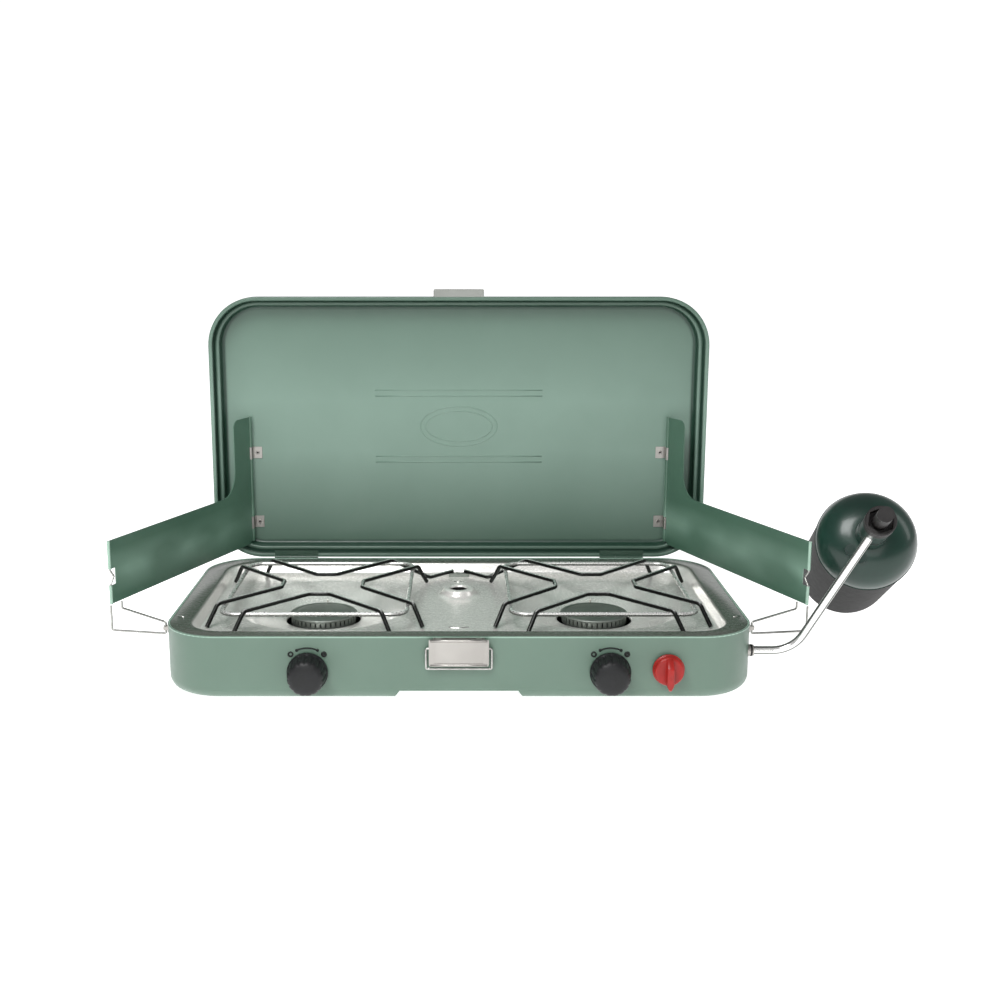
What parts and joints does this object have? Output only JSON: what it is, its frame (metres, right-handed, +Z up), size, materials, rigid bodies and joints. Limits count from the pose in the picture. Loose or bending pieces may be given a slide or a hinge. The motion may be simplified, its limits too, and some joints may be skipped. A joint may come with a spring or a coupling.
{
  "type": "camping stove",
  "caption": "Two-burner gas camping stove with an open lid, folding wind baffles, wire grates, drip tray, regulator and gas cylinder.",
  "frame": {"origin": "centre of the case's flat base, on the surface that the stove stands on", "axes": "+X to the user's right along the case's long side, +Y to the back, +Z up"},
  "size_m": [0.8376, 0.3879, 0.3836],
  "materials": {
    "green_enamel": "satin",
    "dark_green_enamel": "satin",
    "polished_steel": "polished",
    "burner_steel": "satin",
    "zinc_steel": "zinc plated",
    "valve_brass": "machined",
    "black_rubber": "matt",
    "mark_ink": "printed",
    "charcoal_plastic": "matt",
    "red_plastic": "satin",
    "white_ceramic": "glazed",
    "grate_chrome": "plated",
    "wire_chrome": "plated",
    "tube_chrome": "plated",
    "regulator_green": "gloss",
    "tank_green": "gloss"
  },
  "bodies": {
    "case": {"case_shell": "green_enamel", "drip_tray": "polished_steel", "grate_rest": "polished_steel", "flange_tabs": "polished_steel", "left_burner_bowl": "burner_steel", "right_burner_bowl": "burner_steel", "left_burner_ring": "burner_steel", "right_burner_ring": "burner_steel", "left_burner_cap": "burner_steel", "right_burner_cap": "burner_steel", "burner_posts": "zinc_steel", "valve_brackets": "zinc_steel", "left_venturi_tube": "zinc_steel", "right_venturi_tube": "zinc_steel", "left_gas_valve": "valve_brass", "right_gas_valve": "valve_brass", "manifold_bar": "zinc_steel", "inlet_pipe": "zinc_steel", "inlet_socket": "zinc_steel", "inlet_grommet": "black_rubber", "ignition_leads": "black_rubber", "knob_marks": "mark_ink", "igniter_body": "charcoal_plastic", "electrodes": "white_ceramic", "case_hinge_leaves": "dark_green_enamel", "latch_base": "zinc_steel", "latch_rivets": "zinc_steel", "stay_eyes": "zinc_steel"},
    "lid": {"lid_shell": "green_enamel", "lid_catch": "zinc_steel", "catch_rivets": "zinc_steel", "lid_hinge_leaves": "dark_green_enamel", "hinge_pins": "zinc_steel", "baffle_clips": "zinc_steel", "clip_rivets": "zinc_steel"},
    "left_baffle": {"left_wind_baffle": "dark_green_enamel", "left_baffle_pin": "wire_chrome", "left_edge_wire": "wire_chrome"},
    "right_baffle": {"right_wind_baffle": "dark_green_enamel", "right_baffle_pin": "wire_chrome", "right_edge_wire": "wire_chrome"},
    "left_stay": {"left_wire_stay": "wire_chrome"},
    "right_stay": {"right_wire_stay": "wire_chrome"},
    "latch_lever": {"latch_lever": "zinc_steel", "latch_pin": "zinc_steel"},
    "latch_bail": {"latch_bail": "wire_chrome"},
    "left_knob": {"left_burner_knob": "charcoal_plastic", "left_valve_stem": "valve_brass"},
    "right_knob": {"right_burner_knob": "charcoal_plastic", "right_valve_stem": "valve_brass"},
    "igniter_knob": {"igniter_knob": "red_plastic"},
    "left_grate": {"left_grate": "grate_chrome"},
    "right_grate": {"right_grate": "grate_chrome"},
    "regulator": {"regulator_tube": "tube_chrome", "regulator_nut": "regulator_green", "regulator_body": "regulator_green", "regulator_cap": "charcoal_plastic"},
    "cylinder": {"cylinder_tank": "tank_green", "cylinder_valve": "valve_brass", "relief_valve": "regulator_green"}
  },
  "joints": [
    {"name": "lid_hinge", "type": "hinge", "parent": "case", "child": "lid", "pos_m": [0, 0.158, 0.0645], "axis": [1, 0, 0], "range_deg": [-12, 0]},
    {"name": "left_baffle_hinge", "type": "hinge", "parent": "lid", "child": "left_baffle", "pos_m": [-0.25, 0.1786, 0.08], "axis": [0, 0, 1], "range_deg": [0, 111]},
    {"name": "right_baffle_hinge", "type": "hinge", "parent": "lid", "child": "right_baffle", "pos_m": [0.25, 0.1754, 0.08], "axis": [0, 0, -1], "range_deg": [0, 111]},
    {"name": "left_stay_swing", "type": "hinge", "parent": "case", "child": "left_stay", "pos_m": [-0.2955, -0.101, 0.0565], "axis": [0, 0, -1], "range_deg": [0, 60]},
    {"name": "right_stay_swing", "type": "hinge", "parent": "case", "child": "right_stay", "pos_m": [0.2955, -0.101, 0.0565], "axis": [0, 0, 1], "range_deg": [0, 60]},
    {"name": "latch_lever_hinge", "type": "hinge", "parent": "case", "child": "latch_lever", "pos_m": [0, -0.1592, 0.0614], "axis": [-1, 0, 0], "range_deg": [0, 100]},
    {"name": "latch_bail_hinge", "type": "hinge", "parent": "latch_lever", "child": "latch_bail", "pos_m": [0, -0.1592, 0.0536], "axis": [-1, 0, 0], "range_deg": [0, 60]},
    {"name": "left_knob_turn", "type": "hinge", "parent": "case", "child": "left_knob", "pos_m": [-0.147, -0.155, 0.0288], "axis": [0, -1, 0], "range_deg": [0, 130]},
    {"name": "right_knob_turn", "type": "hinge", "parent": "case", "child": "right_knob", "pos_m": [0.147, -0.155, 0.0288], "axis": [0, -1, 0], "range_deg": [0, 130]},
    {"name": "igniter_turn", "type": "hinge", "parent": "case", "child": "igniter_knob", "pos_m": [0.2033, -0.155, 0.0317], "axis": [0, 1, 0], "range_deg": [0, 90], "stiffness_Nm_per_rad": 0.05},
    {"name": "left_grate_lift", "type": "slide", "parent": "case", "child": "left_grate", "axis": [0, 0, 1], "range_m": [0, 0.06]},
    {"name": "right_grate_lift", "type": "slide", "parent": "case", "child": "right_grate", "axis": [0, 0, 1], "range_m": [0, 0.06]},
    {"name": "regulator_pull", "type": "slide", "parent": "case", "child": "regulator", "axis": [1, 0, 0], "range_m": [0, 0.03]},
    {"name": "cylinder_unscrew", "type": "slide", "parent": "regulator", "child": "cylinder", "axis": [0.1551, 0.8955, -0.4172], "range_m": [0, 0.03]}
  ]
}
